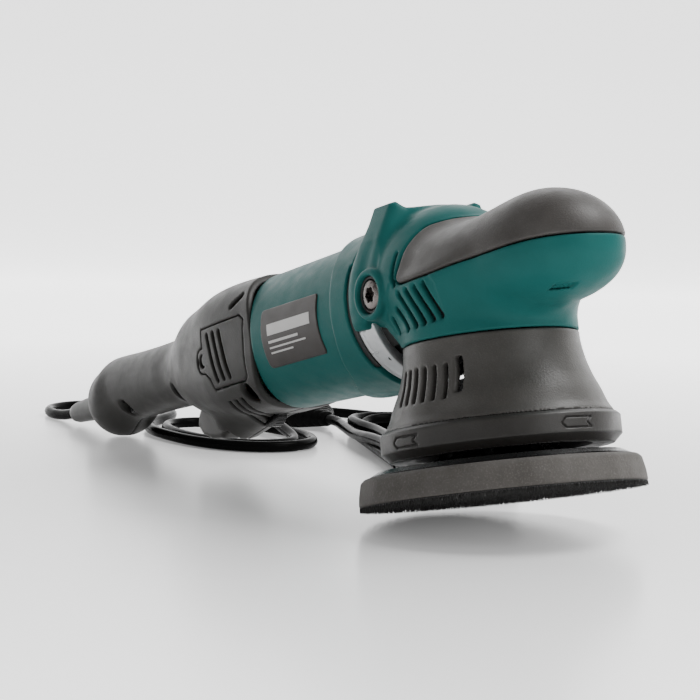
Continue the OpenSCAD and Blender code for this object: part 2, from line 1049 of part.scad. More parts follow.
module strain_relief() {
    color("#2b2a29") stance()
        translate([relief_x0, 0, tail_z])
            rotate([0, -90, 0])
                difference() {
                    turned_z([[0, -2], [6.3, -2], [6.3, 4], [8.4, 5.2], [8, 8], [5.4, relief_l - 2],
                        [4.8, relief_l], [0, relief_l]]);
                    for (z = [16 : 6 : 40])
                        translate([0, 0, z])
                            difference() {
                                cylinder(r = 12, h = 1.6);
                                translate([0, 0, -1])
                                    cylinder(r = 4.6, h = 4);
                            }
                }
}

function unit(v) = v / norm(v);

// ring of sides points around p, square to the direction dir
function cord_ring(p, dir, r, sides) =
    let (side = unit(cross([0, 0, 1], dir)), up = cross(dir, side))
    [for (j = [0 : sides - 1]) p + r * (cos(j * 360 / sides) * side + sin(j * 360 / sides) * up)];

// direction of the route p at its point i
function route_dir(p, i) = unit(p[min(i + 1, len(p) - 1)] - p[max(i - 1, 0)]);

// tube of radius r swept along the points p
module cord_tube(p, r, sides = 8) {
    n = len(p);
    rings = [for (i = [0 : n - 1]) each cord_ring(p[i], route_dir(p, i), r, sides)];
    walls = [for (i = [0 : n - 2], j = [0 : sides - 1])
        let (a = i * sides + j, b = i * sides + (j + 1) % sides)
        [a, a + sides, b + sides, b]];
    start = [for (j = [0 : sides - 1]) j];
    end = [for (j = [sides - 1 : -1 : 0]) (n - 1) * sides + j];
    polyhedron(points = rings, faces = concat(walls, [start, end]));
}

module cord_lead() {
    color("#1a1a1a")
        cord_tube(cord_route, cord_r);
}

module cord_end() {
    color("#1a1a1a")
        cord_tube(cord_end_route, cord_r);
}

module hank_outline(r) {
    for (u = [-1, 1])
        translate([u * hank_run, 0])
            circle(r = r);
    square([2 * hank_run, 2 * r], center = true);
}

module at_hank() {
    translate([hank_x, hank_y, 0])
        rotate(hank_turn)
            children();
}

module cord_hank() {
    color("#1a1a1a") at_hank()
        difference() {
            linear_extrude(height = hank_h)
                difference() {
                    hank_outline(hank_r);
                    hank_outline(hank_hole_r);
                }
            // dip where the tie passes underneath
            span([tie_u - 7.3, -60, -1], [tie_u + 7.3, 60, 1.05]);
        }
}

module cord_tie() {
    color("#262626") at_hank()
        difference() {
            span([tie_u - 7, -hank_r - 1, 0], [tie_u + 7, hank_r + 1, hank_h + 1]);
            span([tie_u - 8, -hank_r, 1], [tie_u + 8, hank_r, hank_h]);
        }
}

module plug() {
    color("#151515")
        hull() {
            translate([plug_x, plug_y, plug_z])
                rotate([0, -90, 0])
                    cylinder(r = 4.5, h = 2, $fn = 32);
            translate([plug_x - plug_l + 16, plug_y, plug_z])
                rotate([0, -90, 0])
                    linear_extrude(height = 16)
                        for (side = [-1, 1])
                            translate([0, side * 10])
                                circle(r = 7, $fn = 32);
        }
}

module plug_pins() {
    color("#b9bbbc")
        for (side = [-1, 1])
            translate([plug_x - plug_l, plug_y + side * pin_pitch / 2, plug_z])
                rotate([0, -90, 0])
                    cylinder(r = pin_r, h = 19);
}

motor_housing();
front_cover();
grip_overmould();
skirt();
shroud_ring();
gearcase();
bearing_plate();
handle_bolts();
bolt_washers();
head_screws();
rear_housing_right();
rear_housing_left();
brush_cover_right();
brush_cover_left();
cover_screws();
housing_screws();
label_right();
label_left();
stator();
field_coils();
brush_holders();
carbon_brushes();
switch_body();
speed_module();
speed_dial();
trigger();
trigger_pin();
lock_button();
armature_shaft();
rotor_core();
rotor_windings();
commutator();
fan();
front_bearing();
rear_bearing();
pinion();
spindle();
bevel_gear();
upper_bearing();
lower_bearing();
counterweight();
pad_bearing();
pad_spindle();
backing_plate();
pad_foam();
hook_face();
pad_bolt();
strain_relief();
cord_lead();
cord_hank();
cord_tie();
cord_end();
plug();
plug_pins();
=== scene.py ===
"""Looks of the dual-action orbital polisher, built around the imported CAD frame.

Shells are signed distance fields in the tool frame (millimetres, spindle axis on Z, hook face
at z = 0, nose towards +X), meshed as quads and laid into the row frame, in metres.
"""
import json
import math
import random
import bpy
import numpy as np
from mathutils import Matrix, Vector


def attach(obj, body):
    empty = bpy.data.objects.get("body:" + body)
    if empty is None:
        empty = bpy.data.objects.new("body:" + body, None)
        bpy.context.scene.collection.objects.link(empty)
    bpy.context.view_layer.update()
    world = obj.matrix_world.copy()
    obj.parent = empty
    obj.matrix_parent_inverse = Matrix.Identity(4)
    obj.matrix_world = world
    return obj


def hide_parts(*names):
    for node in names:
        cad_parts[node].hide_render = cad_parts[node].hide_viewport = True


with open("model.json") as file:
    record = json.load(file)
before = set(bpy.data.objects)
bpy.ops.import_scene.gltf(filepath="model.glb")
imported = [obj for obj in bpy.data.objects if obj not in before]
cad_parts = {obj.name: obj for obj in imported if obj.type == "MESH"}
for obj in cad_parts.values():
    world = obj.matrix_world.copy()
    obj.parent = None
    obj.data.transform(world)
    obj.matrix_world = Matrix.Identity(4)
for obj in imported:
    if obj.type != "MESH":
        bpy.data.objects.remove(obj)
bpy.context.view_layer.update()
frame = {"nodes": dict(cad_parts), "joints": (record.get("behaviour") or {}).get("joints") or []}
nodes = frame["nodes"]
joints = {j["name"]: j for j in frame["joints"]}
MM = 0.001

# ---------------------------------------------------------------- tool frame

ORIGIN = np.array(joints["spindle_spin"]["pos_m"])
X_AXIS = np.array(joints["armature_spin"]["axis"])
Z_AXIS = np.array(joints["spindle_spin"]["axis"])
Y_AXIS = np.cross(Z_AXIS, X_AXIS)
AXES = np.array([X_AXIS, Y_AXIS, Z_AXIS])
PAD_AXIS = AXES @ (np.array(joints["pad_spin"]["pos_m"]) - ORIGIN) / MM
MOTOR_Z = 94.0
TAIL_X, TAIL_Z, TAIL_R = -354.0, 89.0, 20.4
FLOOR_Z = -ORIGIN[2] / MM


def to_row(points):
    """Tool-frame millimetres to row-frame metres."""
    return ORIGIN + np.asarray(points, float) @ AXES * MM


# ---------------------------------------------------------------- camera

CAMERA_AT = Vector((0.9633, -0.5891, 0.1561))
CAMERA_AIM = Vector((0.1227, -0.0533, 0.0763))
CAMERA_ROLL = math.radians(1.35)
LENS_MM = 119.6


def add_camera():
    ahead = (CAMERA_AIM - CAMERA_AT).normalized()
    level = ahead.cross(Vector((0, 0, 1))).normalized()
    above = level.cross(ahead)
    right = level * math.cos(CAMERA_ROLL) + above * math.sin(CAMERA_ROLL)
    up = right.cross(ahead)
    camera = bpy.data.objects.new("camera", bpy.data.cameras.new("camera"))
    camera.matrix_world = Matrix.Translation(CAMERA_AT) @ Matrix((right, up, -ahead)).transposed().to_4x4()
    camera.data.lens = LENS_MM
    camera.data.sensor_width = 36
    camera.data.clip_start = 0.02
    bpy.context.scene.collection.objects.link(camera)
    bpy.context.scene.camera = camera


add_camera()

# ---------------------------------------------------------------- materials


class Graph:
    """A short way to write a material's node tree."""

    def __init__(self, name):
        self.material = bpy.data.materials.new(name)
        self.material.use_nodes = True
        self.tree = self.material.node_tree
        self.shader = self.tree.nodes["Principled BSDF"]
        self.place = self.add("ShaderNodeTexCoord").outputs["Object"]

    def add(self, kind, inputs=None, **settings):
        node = self.tree.nodes.new(kind)
        for key, value in settings.items():
            setattr(node, key, value)
        for key, value in (inputs or {}).items():
            self.give(node.inputs[key], value)
        return node

    def noise(self, scale, detail=2.0, rough=0.5):
        return self.add("ShaderNodeTexNoise", {"Vector": self.place, "Scale": scale, "Detail": detail,
                                               "Roughness": rough}).outputs["Fac"]

    def cells(self, scale):
        return self.add("ShaderNodeTexVoronoi", {"Vector": self.place, "Scale": scale}).outputs["Distance"]

    def between(self, value, low, high, out_low=0.0, out_high=1.0):
        return self.add("ShaderNodeMapRange", {"Value": value, "From Min": low, "From Max": high,
                                               "To Min": out_low, "To Max": out_high}).outputs["Result"]

    def blend(self, factor, a, b):
        mix = self.add("ShaderNodeMix", data_type="RGBA")
        for socket, value in ((mix.inputs[0], factor), (mix.inputs[6], a), (mix.inputs[7], b)):
            self.give(socket, value)
        return mix.outputs[2]

    def bump(self, height, depth, strength=1.0, under=None):
        inputs = {"Height": height, "Distance": depth, "Strength": strength}
        if under is not None:
            inputs["Normal"] = under
        return self.add("ShaderNodeBump", inputs).outputs["Normal"]

    def give(self, socket, value):
        """Link a socket to another one, or set its constant."""
        if isinstance(value, bpy.types.NodeSocket):
            self.tree.links.new(value, socket)
        else:
            socket.default_value = (*value, 1.0) if hasattr(value, "__len__") else value

    def set(self, **values):
        for key, value in values.items():
            self.give(self.shader.inputs[key.replace("_", " ")], value)
        return self.material


def grained(name, color, rough=0.5, grain=2200, depth=0.00006, spread=0.12, glints=0.0, shine=0.4):
    """Moulded plastic or rubber: fine spark-eroded grain, faint mottling, uneven gloss and painted glints,
    which are lighter specks in the colour standing in for the sparkle of the grain.
    """
    g = Graph(name)
    dark = [c * (1 - spread) for c in color]
    light = [min(c * (1 + spread) + glints * 0.05, 1) for c in color]
    tone = g.noise(55, 3)
    fine = g.noise(grain, 3, 0.6)
    shade = g.blend(g.between(tone, 0.3, 0.7), dark, light)
    # Painted glints: light specks mixed into the base colour in place of highlights on the grain.
    painted_glints = g.between(fine, 0.52, 0.72, 0, glints)
    base = g.blend(painted_glints, shade, [min(c * 1.8 + 0.04, 1) for c in color]) if glints else shade
    gloss = g.between(g.noise(140, 3), 0.3, 0.7, rough - 0.05, rough + 0.07)
    relief = g.bump(fine, depth, 0.9)
    relief = g.bump(g.cells(grain * 0.45), depth * 0.8, 0.6, relief)
    return g.set(Base_Color=base, Roughness=gloss, Normal=relief, Specular_IOR_Level=shine)


def metal(name, color, rough=0.35, grain=1800, depth=0.00003, spread=0.1):
    g = Graph(name)
    tone = g.blend(g.between(g.noise(130, 4), 0.3, 0.7), [c * (1 - spread) for c in color],
                   [min(c * (1 + spread), 1) for c in color])
    gloss = g.between(g.noise(420, 3), 0.3, 0.7, rough - 0.08, rough + 0.1)
    return g.set(Base_Color=tone, Roughness=gloss, Metallic=1.0, Normal=g.bump(g.noise(grain, 3), depth, 0.8))


def glossy(name, color, rough=0.22):
    """PVC cord sheath: smooth, with slow waves and a little dust."""
    g = Graph(name)
    dust = g.between(g.noise(900, 4), 0.6, 0.85, 0, 0.2)
    tone = g.blend(dust, color, [min(c + 0.02, 1) for c in color])
    gloss = g.between(g.noise(160, 3), 0.3, 0.7, rough - 0.05, rough + 0.12)
    return g.set(Base_Color=tone, Roughness=gloss, Normal=g.bump(g.noise(240, 2), 0.00012, 0.5),
                 Specular_IOR_Level=0.01)


TEAL = grained("teal_plastic", (0.008, 0.094, 0.088), rough=0.42, depth=0.00005, spread=0.05,
               glints=0.06, shine=0.08)
GRIP = grained("grip_rubber", (0.050, 0.046, 0.043), rough=0.42, depth=0.00009, spread=0.07,
               glints=0.22, shine=0.2)
SKIRT = grained("skirt_rubber", (0.052, 0.049, 0.045), rough=0.38, depth=0.00009, spread=0.07,
                glints=0.22, shine=0.28)
RING = grained("ring_plastic", (0.024, 0.022, 0.020), rough=0.42, depth=0.00006, spread=0.06, glints=0.08)
HOUSING = grained("housing_plastic", (0.032, 0.031, 0.029), rough=0.42, depth=0.00007, spread=0.06,
                  glints=0.10, shine=0.2)
TRIGGER = grained("trigger_plastic", (0.028, 0.027, 0.024), rough=0.42, depth=0.00004, spread=0.05)
BLACK = grained("black_plastic", (0.006, 0.006, 0.006), rough=0.25, depth=0.00003, spread=0.1, shine=0.25)
FOAM = grained("foam", (0.067, 0.061, 0.055), rough=0.75, grain=1300, depth=0.0002, spread=0.1, glints=0.45)
HOOKS = grained("hooks", (0.006, 0.0055, 0.005), rough=0.5, spread=0.1)
LABEL = grained("label_film", (0.036, 0.031, 0.029), rough=0.38, grain=3000, depth=0.00002,
                spread=0.05, shine=0.2)
CAST = metal("cast_aluminium", (0.62, 0.63, 0.64), rough=0.55, grain=1500, depth=0.0001, spread=0.06)
STEEL = metal("steel", (0.62, 0.63, 0.64), rough=0.25)
GEAR = metal("gear_steel", (0.36, 0.36, 0.37), rough=0.35)
IRON = metal("counterweight_iron", (0.05, 0.05, 0.052), rough=0.28, depth=0.00006)
STACK = metal("laminations", (0.25, 0.24, 0.23), rough=0.5)
BOLT = metal("bolt_steel", (0.13, 0.115, 0.11), rough=0.25, depth=0.00004)
SCREW = metal("screw_steel", (0.05, 0.05, 0.05), rough=0.35)
COPPER = metal("copper", (0.62, 0.26, 0.11), rough=0.35)
BRASS = metal("brush_brass", (0.66, 0.50, 0.22), rough=0.35)
CARBON = grained("carbon", (0.02, 0.02, 0.022), rough=0.6)
# Black rubber for the bolt washers, also used for the strip of painted shade in the collar slot.
WASHER_AND_SHADE = grained("washer_rubber", (0.008, 0.008, 0.008), rough=0.5)
CIRCUIT = grained("circuit", (0.02, 0.10, 0.045), rough=0.3)
CORD = glossy("cord_rubber", (0.004, 0.004, 0.004), rough=0.15)
PLUG = glossy("plug_rubber", (0.006, 0.006, 0.006), rough=0.28)
RELIEF = grained("relief_rubber", (0.030, 0.030, 0.028), rough=0.45, depth=0.00004, spread=0.05)
PRINT = grained("label_print", (0.50, 0.49, 0.48), rough=0.4, grain=3000, depth=0.00001, spread=0.04)
# Painted shade: the cast aluminium gearcase and bearing plate are coloured near black for the parts that lie
# in shadow inside the cover.
SHADED_GEARCASE = grained("gearcase_painted_shade", (0.012, 0.012, 0.012), rough=0.6)

NODE_MATERIALS = {
    SHADED_GEARCASE: ["gearcase", "bearing_plate"],
    STEEL: ["trigger_pin", "armature_shaft", "front_bearing", "rear_bearing", "upper_bearing",
            "lower_bearing", "spindle", "pad_bearing", "pad_spindle", "pad_bolt", "plug_pins"],
    GEAR: ["pinion", "bevel_gear"],
    IRON: ["counterweight"],
    STACK: ["stator", "rotor_core"],
    COPPER: ["field_coils", "rotor_windings", "commutator"],
    BRASS: ["brush_holders"],
    CARBON: ["carbon_brushes"],
    CIRCUIT: ["speed_module"],
    BLACK: ["switch_body", "speed_dial", "lock_button", "fan", "backing_plate"],
    SCREW: ["head_screws", "cover_screws"],
    PLUG: ["cord_tie"],
}


def paint_nodes():
    for material, names in NODE_MATERIALS.items():
        for name in names:
            mesh = nodes[name].data
            mesh.materials.clear()
            mesh.materials.append(material)


paint_nodes()

# ---------------------------------------------------------------- pieces


def piece(name, points, faces, material, body, replaces=(), smooth=True):
    """A mesh object in the row frame that rides on a body and stands for the CAD nodes given."""
    mesh = bpy.data.meshes.new(name)
    faces = np.asarray(faces)
    mesh.vertices.add(len(points))
    mesh.vertices.foreach_set("co", np.asarray(points, np.float32).ravel())
    mesh.loops.add(faces.size)
    mesh.loops.foreach_set("vertex_index", faces.astype(np.int32).ravel())
    mesh.polygons.add(len(faces))
    mesh.polygons.foreach_set("loop_start", np.arange(len(faces), dtype=np.int32) * faces.shape[1])
    mesh.update(calc_edges=True)
    mesh.validate()
    mesh.polygons.foreach_set("use_smooth", np.full(len(mesh.polygons), smooth))
    mesh.materials.append(material)
    thing = bpy.data.objects.new(name, mesh)
    bpy.context.scene.collection.objects.link(thing)
    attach(thing, body)
    if replaces:
        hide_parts(*replaces)
    return thing


# ---------------------------------------------------------------- distance fields


def smin(a, b, k):
    h = np.clip(0.5 + 0.5 * (b - a) / k, 0, 1)
    return b + (a - b) * h - k * h * (1 - h)


def smax(a, b, k=0.8):
    return -smin(-a, -b, k)


def carve(a, hole, k=0.8):
    return smax(a, -hole, k)


def ellipsoid(x, y, z, at, r):
    px, py, pz = (x - at[0]) / r[0], (y - at[1]) / r[1], (z - at[2]) / r[2]
    k0 = np.sqrt(px * px + py * py + pz * pz)
    k1 = np.sqrt((px / r[0]) ** 2 + (py / r[1]) ** 2 + (pz / r[2]) ** 2)
    return k0 * (k0 - 1) / np.maximum(k1, 1e-6)


def box2(u, v, u0, u1, v0, v1, r=0.0):
    """Rectangle in two coordinates, with round corners."""
    du = np.abs(u - (u0 + u1) / 2) - (u1 - u0) / 2 + r
    dv = np.abs(v - (v0 + v1) / 2) - (v1 - v0) / 2 + r
    return np.minimum(np.maximum(du, dv), 0) + np.hypot(np.maximum(du, 0), np.maximum(dv, 0)) - r


def stroke(u, v, a, b, r):
    """Line with round ends from a to b in two coordinates."""
    bu, bv = b[0] - a[0], b[1] - a[1]
    t = np.clip(((u - a[0]) * bu + (v - a[1]) * bv) / (bu * bu + bv * bv), 0, 1)
    return np.hypot(u - a[0] - t * bu, v - a[1] - t * bv) - r


def polygon2(u, v, corners):
    """Signed distance to a polygon in two coordinates."""
    d = None
    inside = None
    for i, (bu, bv) in enumerate(corners):
        au, av = corners[i - 1]
        eu, ev = bu - au, bv - av
        t = np.clip(((u - au) * eu + (v - av) * ev) / (eu * eu + ev * ev), 0, 1)
        away = (u - au - t * eu) ** 2 + (v - av - t * ev) ** 2
        flips = ((av > v) != (bv > v)) & (u < (bu - au) * (v - av) / ((bv - av) or 1e-9) + au)
        d = away if d is None else np.minimum(d, away)
        inside = flips if inside is None else inside ^ flips
    return np.where(inside, -1, 1) * np.sqrt(d)


def spline(x, knots):
    """Smooth function through [(x, value), ...], flat beyond its ends."""
    xs, ys = np.array(knots, float).T
    slope = np.gradient(ys, xs)
    slope[0] = slope[-1] = 0
    x = np.clip(x, xs[0], xs[-1])
    i = np.clip(np.searchsorted(xs, x, side="right") - 1, 0, len(xs) - 2)
    w = xs[i + 1] - xs[i]
    t = (x - xs[i]) / w
    t2, t3 = t * t, t * t * t
    return ((2 * t3 - 3 * t2 + 1) * ys[i] + (t3 - 2 * t2 + t) * w * slope[i]
            + (3 * t2 - 2 * t3) * ys[i + 1] + (t3 - t2) * w * slope[i + 1])


def net(field, low, high, step):
    """Quads on the zero surface of a field over a box: surface nets, then drawn onto the surface."""
    low = np.array(low, float)
    count = np.ceil((np.array(high) - low) / step).astype(int) + 1
    lines = [low[a] + step * np.arange(count[a]) for a in range(3)]
    f = np.array(np.broadcast_to(field(*np.meshgrid(*lines, indexing="ij", sparse=True)), count))
    for a in range(3):
        for end in (0, -1):
            edge = [slice(None)] * 3
            edge[a] = end
            f[tuple(edge)] = np.maximum(f[tuple(edge)], 0.01)
    inside = f < 0
    cell_count = count - 1
    cells, spots, quads = [], [], []
    for a in range(3):
        b, c = (a + 1) % 3, (a + 2) % 3
        lower, upper = [slice(None)] * 3, [slice(None)] * 3
        lower[a], upper[a] = slice(0, -1), slice(1, None)
        at = np.array(np.nonzero(inside[tuple(lower)] != inside[tuple(upper)])).T
        ahead = at.copy()
        ahead[:, a] += 1
        f0, f1 = f[tuple(at.T)], f[tuple(ahead.T)]
        spot = at.astype(float)
        spot[:, a] += f0 / (f0 - f1)
        around = []
        for db, dc in ((-1, -1), (0, -1), (0, 0), (-1, 0)):
            cell = at.copy()
            cell[:, b] += db
            cell[:, c] += dc
            around.append(np.ravel_multi_index(tuple(np.clip(cell, 0, cell_count - 1).T), cell_count))
            cells.append(around[-1])
            spots.append(spot)
        quad = np.stack(around, 1)
        quad[f0 > 0] = quad[f0 > 0][:, ::-1]
        quads.append(quad)
    cells, spots, quads = np.concatenate(cells), np.concatenate(spots), np.concatenate(quads)
    used, index = np.unique(cells, return_inverse=True)
    number = np.bincount(index)
    points = np.stack([np.bincount(index, spots[:, a]) / number for a in range(3)], 1) * step + low
    h = 0.1
    for _ in range(2):
        here = field(*points.T)
        slope = np.stack([(field(*(points + h * np.eye(3)[a]).T) - here) / h for a in range(3)], 1)
        size = np.maximum((slope ** 2).sum(1), 0.15)
        points -= slope * np.clip(here / size, -0.5 * step, 0.5 * step)[:, None]
    return points, np.searchsorted(used, quads)


def in_row(points):
    """Row-frame millimetres to metres."""
    return np.asarray(points, float) * MM


def moulded(name, field, low, high, step, material, body, replaces=(), place=to_row):
    """A piece meshed from a field, in the tool frame or in the row frame."""
    points, quads = net(field, low, high, step * (1))
    return piece(name, place(points), quads, material, body, replaces)


def lathe(name, profile, at, axis, material, body, replaces=(), sides=128):
    """A turned piece: (radius, height) points round an axis, with the sharp corners softened."""
    soft = []
    for i, (r, h) in enumerate(profile):
        here = np.array([r, h])
        before, after = np.array(profile[i - 1]), np.array(profile[(i + 1) % len(profile)])
        reach = min(0.5, np.hypot(*(before - here)) / 3, np.hypot(*(after - here)) / 3)
        a = here + (before - here) / np.hypot(*(before - here)) * reach
        b = here + (after - here) / np.hypot(*(after - here)) * reach
        soft += [tuple((1 - t) ** 2 * a + 2 * t * (1 - t) * here + t * t * b) for t in (0, 0.33, 0.67, 1)]
    axis = np.array(axis, float)
    u = np.cross(axis, [0, 1, 0]) if abs(axis[1]) < 0.9 else np.array([1.0, 0, 0])
    v = np.cross(axis, u)
    turns = np.linspace(0, 2 * np.pi, sides, endpoint=False)
    points = [np.array(at) + h * axis + max(r, 0.02) * (np.cos(a) * u + np.sin(a) * v)
              for r, h in soft for a in turns]
    n = len(soft)
    quads = [(i * sides + j, i * sides + (j + 1) % sides, (i + 1) % n * sides + (j + 1) % sides,
              (i + 1) % n * sides + j) for i in range(n) for j in range(sides)]
    return piece(name, to_row(points), quads, material, body, replaces)


# ---------------------------------------------------------------- cord

CORD_D, CORD_LONG = 0.006, 3.1
RELIEF_X = -369.5
RELIEF_EDGE = [(0.5, -3), (6.3, -3), (6.3, 4.2), (8, 5.4), (7.9, 9), (7, 24), (6, 42), (5.2, 46), (0.5, 46)]
LEAD = [(-265.07, 5.57, 6.83), (-282, 5.5, 4), (-297, 6, 3), (-313, 10, 3), (-326, 19, 3), (-334, 33, 3),
        (-334, 49, 3), (-326, 63, 3), (-311, 73, 3), (-292, 77, 3), (-272, 72, 3), (-255, 59, 3),
        (-240, 43, 3), (-222, 30, 3), (-199, 22, 3), (-174, 19, 3), (-149, 20, 3), (-127, 27, 3),
        (-112, 41, 3), (-109, 60, 3), (-119, 77, 3), (-138, 87, 3), (-162, 91, 3), (-188, 90, 3),
        (-211, 82, 3), (-227, 67, 3), (-226, 49, 3), (-211, 36, 3), (-188, 29, 3), (-162, 27, 3),
        (-138, 31, 3), (-121, 43, 3), (-120, 61, 3), (-134, 75, 3.5), (-158, 82, 6.5), (-184, 87, 9.5),
        (-210, 92, 8), (-235, 98, 4), (-256, 110, 3), (-267, 130, 3), (-264, 151, 3), (-249, 168, 3),
        (-227, 179, 3), (-202, 184, 3), (-177, 184, 3), (-153, 178, 3)]
TO_PLUG = [(-161.9, 123.6, 6.2), (-168.5, 125.9, 6.6), (-175, 127.1, 7), (-184, 127.3, 7.2)]
HANK_AT, HANK_RUN, HANK_TURN = (-56, 111), 95, math.radians(-23)
TURNS = [(24.4, 3.0), (18.0, 3.0), (18.0, 9.1), (24.4, 9.1)]
SIDE_STEP, LAYER = 6.4, 6.1
CLIMB_FROM, CLIMB_LONG = 0.86, 55
TIE_U = 45
PLUG_AT, PLUG_LONG = (-182, 127.3, 7.2), 40


def ease(t, a, b):
    t = min(max((t - a) / (b - a), 0), 1)
    return t * t * (3 - 2 * t)


def strand(turn, part, t):
    """Radius and height of a turn of the hank: turns change layer one after another at its left end."""
    r, h = TURNS[turn]
    if part == "near" and turn == 3:
        roll = math.radians(60) * ease(t, 0.37, 0.85)
        return r + 6.2 * math.sin(roll), 3 + 6.15 * math.cos(roll)
    if turn == 2:
        moved = {"near": ease(t, 0.72, 1), "left": 1}.get(part, 0)
        return r + SIDE_STEP * moved, h
    if part in ("near", "left") and turn == 1:
        run, bend = 2 * HANK_RUN, math.pi * r
        climbed = run * (t - CLIMB_FROM) if part == "near" else run * (1 - CLIMB_FROM) + bend * t
        return r, h + LAYER * ease(climbed, 0, CLIMB_LONG)
    if part == "left" and turn == 0:
        return r - SIDE_STEP * ease(t, 0.3, 1), h
    return r, h


def hank_route():
    """The wound part of the cord: four turns, clockwise from above, in row millimetres."""
    route = []
    c, s = math.cos(HANK_TURN), math.sin(HANK_TURN)
    for turn in range(4):
        for part in ("far", "right", "near", "left")[:3 if turn == 3 else 4]:
            for t in np.arange(10) / 10:
                r, h = strand(turn, part, t)
                a = math.pi * t
                u, v = {"far": (-HANK_RUN + 2 * HANK_RUN * t, r),
                        "right": (HANK_RUN + r * math.sin(a), r * math.cos(a)),
                        "near": (HANK_RUN - 2 * HANK_RUN * t, -r),
                        "left": (-HANK_RUN - r * math.sin(a), -r * math.cos(a))}[part]
                route.append((HANK_AT[0] + u * c - v * s, HANK_AT[1] + u * s + v * c, h))
    return route


def rounded(route, steps=5):
    """Smooth line through a route's points."""
    p = np.array([route[0], *route, route[-1]], float)
    line = []
    for a, b, c, d in zip(p, p[1:], p[2:], p[3:]):
        for t in np.arange(steps) / steps:
            line.append(0.5 * (2 * b + (c - a) * t + (2 * a - 5 * b + 4 * c - d) * t * t
                               + (3 * b - a - 3 * c + d) * t ** 3))
    return np.array([*line, p[-1]])


def add_cord():
    line = rounded([*LEAD, *hank_route(), *TO_PLUG]) * MM
    curve = bpy.data.curves.new("power_cord", "CURVE")
    curve.dimensions = "3D"
    curve.bevel_depth = CORD_D / 2
    curve.bevel_resolution = 4
    curve.use_fill_caps = True
    track = curve.splines.new("POLY")
    track.points.add(len(line) - 1)
    track.points.foreach_set("co", np.hstack([line, np.ones((len(line), 1))]).astype(np.float32).ravel())
    track.use_smooth = True
    curve.materials.append(CORD)
    cord = bpy.data.objects.new("power_cord", curve)
    bpy.context.scene.collection.objects.link(cord)
    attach(cord, "housing")
    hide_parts("cord_lead", "cord_hank", "cord_end")
    return cord


def tie_field(x, y, z):
    c, s = math.cos(HANK_TURN), math.sin(HANK_TURN)
    u = (x - HANK_AT[0]) * c + (y - HANK_AT[1]) * s
    v = (y - HANK_AT[1]) * c - (x - HANK_AT[0]) * s
    band = box2(v, z, -28.5, 28.5, 0.02, 13.3, 4.2)
    return smax(np.abs(band + 0.55) - 0.5, np.abs(u - TIE_U) - 6.8, 0.3)


def plug_field(x, y, z):
    back = np.clip((PLUG_AT[0] - x) / 24, 0, 1)
    grow = back * back * (3 - 2 * back)
    wide, tall = 10 * grow, 4.4 + 2.6 * grow
    waves = np.clip(np.cos((PLUG_AT[0] - x) * 2 * np.pi / 4.2), 0, 1)
    ribs = 0.5 * waves * (np.abs(PLUG_AT[0] - 13 - x) < 9.4)
    body = np.hypot(np.maximum(np.abs(y - PLUG_AT[1]) - wide, 0), z - PLUG_AT[2]) - tall + ribs
    return smax(body * 0.9, np.maximum(x - PLUG_AT[0], PLUG_AT[0] - PLUG_LONG - x), 2.0)


cord = add_cord()
tie = moulded("hank_tie", tie_field, (-33, 64, -1), (5, 122, 15), 0.5, PLUG, "housing",
              ["cord_tie"], place=in_row)
plug = moulded("plug_body", plug_field, (-224, 108, -1), (-180, 146, 16), 0.6, PLUG, "housing",
               ["plug"], place=in_row)
relief = lathe("cord_relief", RELIEF_EDGE, (RELIEF_X, 0, TAIL_Z), (-1, 0, 0), RELIEF, "housing",
               ["strain_relief"], sides=64)

# ---------------------------------------------------------------- gear head cover and grip

NECK_R, NECK_Z = 38.6, 70.0
NOSE_X, NOSE_LONG, NOSE_POWER = 40.0, 43.0, 2.2
NOSE_WIDE = [(0, 36.2), (14, 35.2), (40, 31.5), (60, 30.5), (90, 31)]
NOSE_ABOVE = [(0, 21), (16, 20.5), (40, 24), (56, 26.4), (80, 27)]
NOSE_Z, NOSE_BELOW = 101.5, 24.0
BOSS_X, BOSS_Z = -32.2, 95.7
WALL = 2.6


def nose(x, y, z):
    """Palm rest: a rounded bar that ends in a bulb."""
    q = np.maximum(x - NOSE_X, 0) / NOSE_LONG
    wide = spline(x, NOSE_WIDE)
    tall = np.where(z > NOSE_Z, spline(x, NOSE_ABOVE), NOSE_BELOW)
    plan = np.maximum(q ** NOSE_POWER + (np.abs(y) / wide) ** NOSE_POWER, 1e-9) ** (2 / NOSE_POWER)
    drop = (np.abs(z - NOSE_Z) / tall) ** np.where(z > NOSE_Z, 2.0, 2.7)
    return (np.sqrt(plan + drop) - 1) * 27


YOKE = [(-37, 86), (-37, 108), (-32.5, 121), (-27, 131.5), (-24.4, 136.8), (-21.5, 137.6), (-17, 134.8),
        (0, 133.6), (17, 134.8), (21.5, 137.6), (24.4, 136.8), (27, 131.5), (32.5, 121), (37, 108), (37, 86)]


def head_form(x, y, z):
    """Outer surface of the whole gear head cover, grip included."""
    r = np.hypot(x, y)
    neck = smax(r - NECK_R, z - 96, 6)
    form = smin(neck, np.maximum(nose(x, y, z), -24 - x), 12)
    dome = ellipsoid(x, y, z, (-22, 0, 97), (34, 37.6, 37))
    form = smin(form, dome, 6)
    around = np.hypot(y, z - MOTOR_Z)
    band = smax(around - 38.6, np.maximum(x + 41.5, -60 - x), 4)
    form = smin(form, band, 4)
    yoke = smax(polygon2(y, z, YOKE), np.maximum(x + 26 + 0.12 * np.abs(y), -47 - x), 4)
    form = smin(form, yoke, 7)
    boss = smax(np.hypot(x - BOSS_X, z - BOSS_Z) - 11.6, np.abs(y) - 40.8, 2.4)
    return smin(form, boss, 1.0)


GRIP_SEAM = [(-30, 95.6), (-8, 96.2), (2.5, 96.7), (14, 97.5), (26, 99.1), (48, 100.7), (69, 102.1),
             (86, 102.2)]
GRIP_BACK = [(92, -9), (97, -11), (106, -10.7), (115, -9.7), (119, -8.6), (122, -6.4), (124, -1), (126, 8),
             (134, 22)]


def grip_zone(x, y, z):
    """Negative where the rubber of the palm grip lies."""
    return smax((spline(x, GRIP_SEAM) - z) * 0.98, (spline(z, GRIP_BACK) - x) * 0.8, 4)


